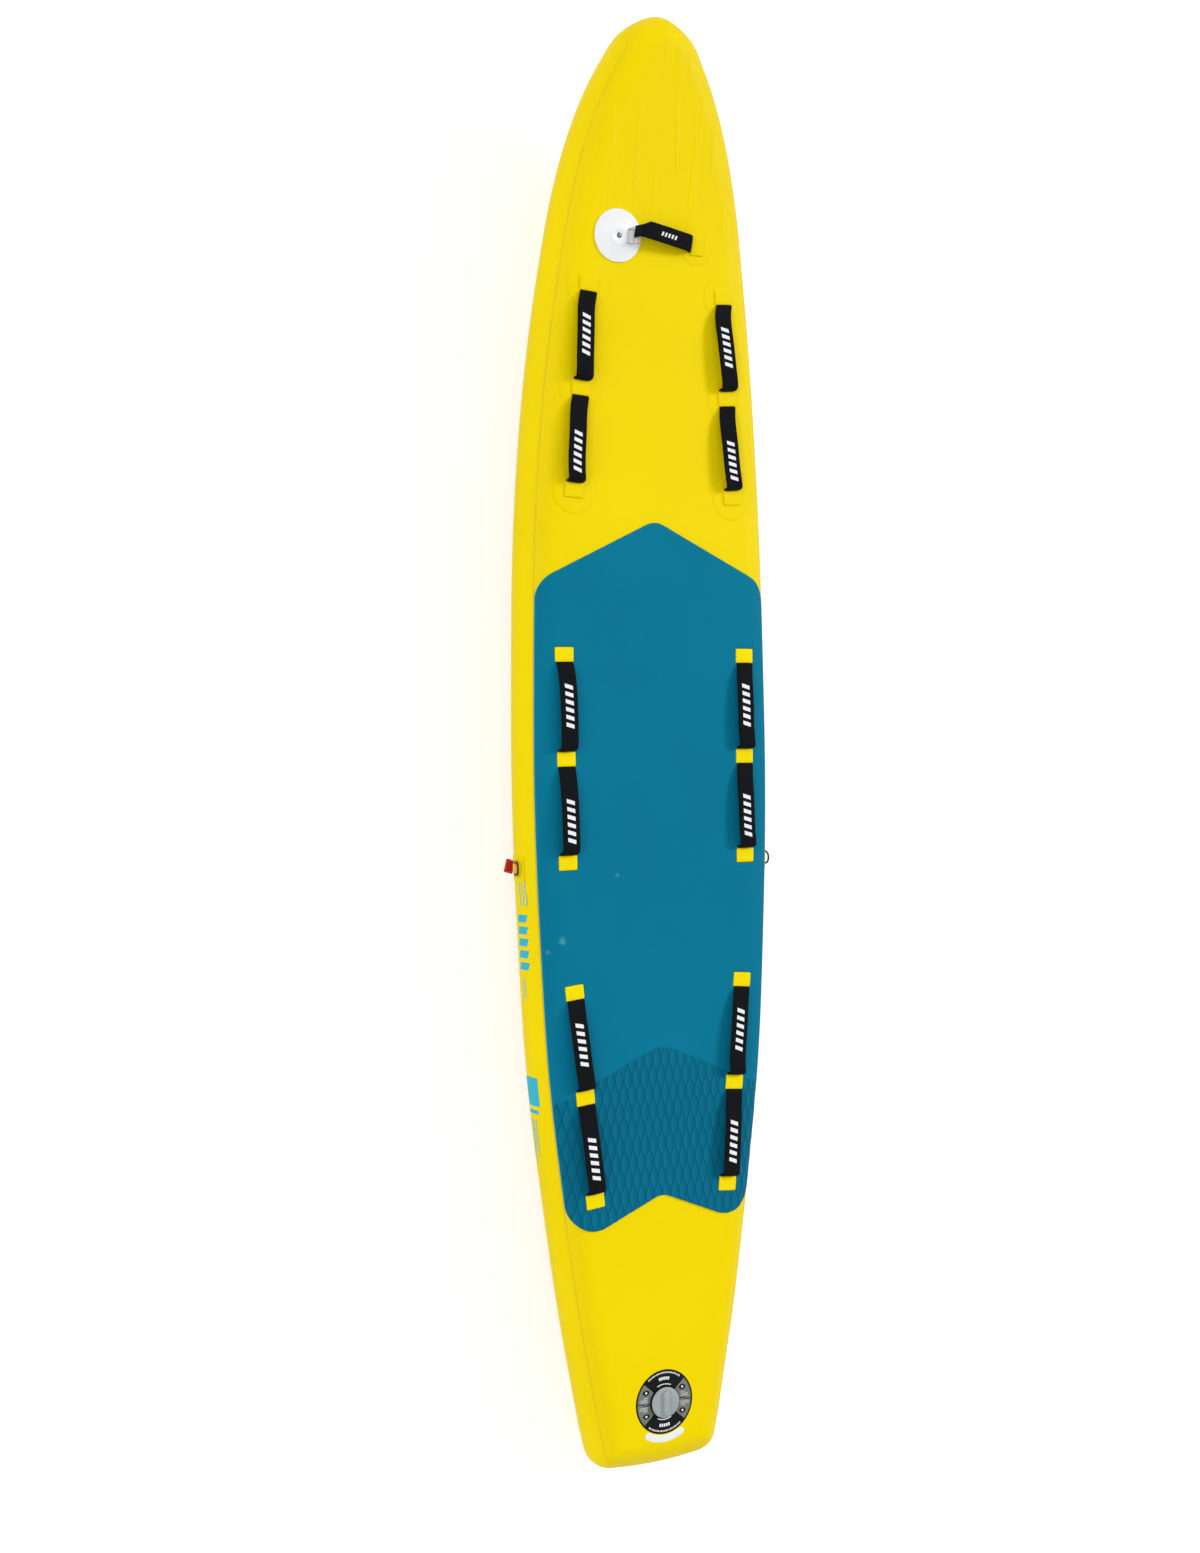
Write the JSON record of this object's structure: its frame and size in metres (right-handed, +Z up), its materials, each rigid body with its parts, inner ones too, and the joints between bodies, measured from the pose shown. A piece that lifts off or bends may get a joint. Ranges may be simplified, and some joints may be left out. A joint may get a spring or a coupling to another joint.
{
  "type": "rescue board",
  "caption": "Inflatable lifeguard rescue board with a teal deck pad, padded grab straps along both sides, a nose strap and fitting, rail rings, an inflation valve and a fin.",
  "frame": {"origin": "on the flat underside of the hull, below the middle of the length and of the width", "axes": "+X to the nose, +Y to port, +Z up out of the deck"},
  "size_m": [3.2, 0.6446, 0.3094],
  "materials": {
    "coated_fabric": "satin",
    "drop_stitch_fabric": "matte",
    "deck_foam": "matte",
    "webbing": "matte",
    "white_moulding": "satin",
    "grey_moulding": "satin",
    "black_moulding": "satin",
    "seal_rubber": "matte",
    "red_cloth": "matte",
    "steel": "satin"
  },
  "bodies": {
    "board": {"drop_stitch_core": "drop_stitch_fabric", "deck_skin": "coated_fabric", "hull_skin": "coated_fabric", "rail_band": "coated_fabric", "deck_pad": "deck_foam", "strap_tab_port_front_1": "coated_fabric", "strap_patch_port_front_1": "coated_fabric", "strap_tab_port_front_2": "coated_fabric", "strap_patch_port_front_2": "coated_fabric", "strap_tab_port_front_3": "coated_fabric", "strap_patch_port_front_3": "coated_fabric", "strap_tab_port_mid_1": "coated_fabric", "strap_tab_port_mid_2": "coated_fabric", "strap_tab_port_mid_3": "coated_fabric", "strap_tab_port_rear_1": "coated_fabric", "strap_tab_port_rear_2": "coated_fabric", "strap_tab_port_rear_3": "coated_fabric", "strap_tab_starboard_front_1": "coated_fabric", "strap_patch_starboard_front_1": "coated_fabric", "strap_tab_starboard_front_2": "coated_fabric", "strap_patch_starboard_front_2": "coated_fabric", "strap_tab_starboard_front_3": "coated_fabric", "strap_patch_starboard_front_3": "coated_fabric", "strap_tab_starboard_mid_1": "coated_fabric", "strap_tab_starboard_mid_2": "coated_fabric", "strap_tab_starboard_mid_3": "coated_fabric", "strap_tab_starboard_rear_1": "coated_fabric", "strap_tab_starboard_rear_2": "coated_fabric", "strap_tab_starboard_rear_3": "coated_fabric", "nose_strap_tab": "coated_fabric", "nose_strap_patch": "coated_fabric", "nose_fitting": "white_moulding", "nose_fitting_screw": "steel", "nose_strap_tongue": "white_moulding", "valve_body": "grey_moulding", "valve_nut": "grey_moulding", "valve_spring": "steel", "ring_patch_port": "coated_fabric", "ring_patch_starboard": "coated_fabric", "rail_tag": "red_cloth", "fin_box": "black_moulding"},
    "strap_port_front_1": {"strap_port_front_1": "webbing"},
    "strap_port_front_2": {"strap_port_front_2": "webbing"},
    "strap_port_mid_1": {"strap_port_mid_1": "webbing"},
    "strap_port_mid_2": {"strap_port_mid_2": "webbing"},
    "strap_port_rear_1": {"strap_port_rear_1": "webbing"},
    "strap_port_rear_2": {"strap_port_rear_2": "webbing"},
    "strap_starboard_front_1": {"strap_starboard_front_1": "webbing"},
    "strap_starboard_front_2": {"strap_starboard_front_2": "webbing"},
    "strap_starboard_mid_1": {"strap_starboard_mid_1": "webbing"},
    "strap_starboard_mid_2": {"strap_starboard_mid_2": "webbing"},
    "strap_starboard_rear_1": {"strap_starboard_rear_1": "webbing"},
    "strap_starboard_rear_2": {"strap_starboard_rear_2": "webbing"},
    "nose_strap": {"nose_strap": "webbing"},
    "cap_seal": {"cap_seal": "seal_rubber"},
    "valve_cap": {"valve_cap": "grey_moulding"},
    "valve_pin": {"valve_pin": "black_moulding"},
    "rail_ring_port": {"rail_ring_port": "black_moulding"},
    "rail_ring_starboard": {"rail_ring_starboard": "black_moulding"},
    "fin": {"fin": "black_moulding"}
  },
  "joints": [
    {"name": "strap_port_front_1_tilt", "type": "hinge", "parent": "board", "child": "strap_port_front_1", "pos_m": [0.9, 0.17553, 0.16298], "axis": [0.9954, -0.0677, 0.0673], "range_deg": [-20, 20], "stiffness_Nm_per_rad": 0.3},
    {"name": "strap_port_front_2_tilt", "type": "hinge", "parent": "board", "child": "strap_port_front_2", "pos_m": [0.67952, 0.19107, 0.15137], "axis": [0.9966, -0.0728, 0.0373], "range_deg": [-20, 20], "stiffness_Nm_per_rad": 0.3},
    {"name": "strap_port_mid_1_tilt", "type": "hinge", "parent": "board", "child": "strap_port_mid_1", "pos_m": [0.10304, 0.22602, 0.1471], "axis": [1, 0.0089, 0], "range_deg": [-20, 20], "stiffness_Nm_per_rad": 0.3},
    {"name": "strap_port_mid_2_tilt", "type": "hinge", "parent": "board", "child": "strap_port_mid_2", "pos_m": [-0.12192, 0.22451, 0.1471], "axis": [1, 0.0045, 0], "range_deg": [-20, 20], "stiffness_Nm_per_rad": 0.3},
    {"name": "strap_port_rear_1_tilt", "type": "hinge", "parent": "board", "child": "strap_port_rear_1", "pos_m": [-0.63136, 0.20049, 0.1471], "axis": [0.9951, 0.0987, 0], "range_deg": [-20, 20], "stiffness_Nm_per_rad": 0.3},
    {"name": "strap_port_rear_2_tilt", "type": "hinge", "parent": "board", "child": "strap_port_rear_2", "pos_m": [-0.86096, 0.17851, 0.1471], "axis": [0.9958, 0.0918, 0], "range_deg": [-20, 20], "stiffness_Nm_per_rad": 0.3},
    {"name": "strap_starboard_front_1_tilt", "type": "hinge", "parent": "board", "child": "strap_starboard_front_1", "pos_m": [0.9, -0.17553, 0.16298], "axis": [0.9954, 0.0677, 0.0673], "range_deg": [-20, 20], "stiffness_Nm_per_rad": 0.3},
    {"name": "strap_starboard_front_2_tilt", "type": "hinge", "parent": "board", "child": "strap_starboard_front_2", "pos_m": [0.67952, -0.19107, 0.15137], "axis": [0.9966, 0.0728, 0.0373], "range_deg": [-20, 20], "stiffness_Nm_per_rad": 0.3},
    {"name": "strap_starboard_mid_1_tilt", "type": "hinge", "parent": "board", "child": "strap_starboard_mid_1", "pos_m": [0.10304, -0.22602, 0.1471], "axis": [1, -0.0089, 0], "range_deg": [-20, 20], "stiffness_Nm_per_rad": 0.3},
    {"name": "strap_starboard_mid_2_tilt", "type": "hinge", "parent": "board", "child": "strap_starboard_mid_2", "pos_m": [-0.12192, -0.22451, 0.1471], "axis": [1, -0.0045, 0], "range_deg": [-20, 20], "stiffness_Nm_per_rad": 0.3},
    {"name": "strap_starboard_rear_1_tilt", "type": "hinge", "parent": "board", "child": "strap_starboard_rear_1", "pos_m": [-0.63136, -0.20049, 0.1471], "axis": [0.9951, -0.0987, 0], "range_deg": [-20, 20], "stiffness_Nm_per_rad": 0.3},
    {"name": "strap_starboard_rear_2_tilt", "type": "hinge", "parent": "board", "child": "strap_starboard_rear_2", "pos_m": [-0.86096, -0.17851, 0.1471], "axis": [0.9958, -0.0918, 0], "range_deg": [-20, 20], "stiffness_Nm_per_rad": 0.3},
    {"name": "nose_strap_tilt", "type": "hinge", "parent": "board", "child": "nose_strap", "pos_m": [1.125, -0.008, 0.18457], "axis": [0.1275, 0.9918, 0.0119], "range_deg": [-20, 20], "stiffness_Nm_per_rad": 0.3},
    {"name": "cap_lift", "type": "slide", "parent": "board", "child": "cap_seal", "axis": [0, 0, 1], "range_m": [0, 0.03]},
    {"name": "cap_turn", "type": "hinge", "parent": "cap_seal", "child": "valve_cap", "pos_m": [-1.445, 0, 0.15], "axis": [0, 0, 1], "range_deg": [0, 90]},
    {"name": "valve_pin_press", "type": "slide", "parent": "board", "child": "valve_pin", "axis": [0, 0, 1], "range_m": [-0.005, 0], "stiffness_N_per_m": 300, "springref_m": 0.01, "deforming": ["valve_spring"]},
    {"name": "ring_swing_port", "type": "hinge", "parent": "board", "child": "rail_ring_port", "pos_m": [-0.246, 0.31617, 0.071], "axis": [1, 0, 0], "range_deg": [-165, 0]},
    {"name": "ring_swing_starboard", "type": "hinge", "parent": "board", "child": "rail_ring_starboard", "pos_m": [-0.246, -0.31617, 0.071], "axis": [1, 0, 0], "range_deg": [0, 165]},
    {"name": "fin_slide", "type": "slide", "parent": "board", "child": "fin", "axis": [-1, 0, 0], "range_m": [0, 0.19]}
  ]
}
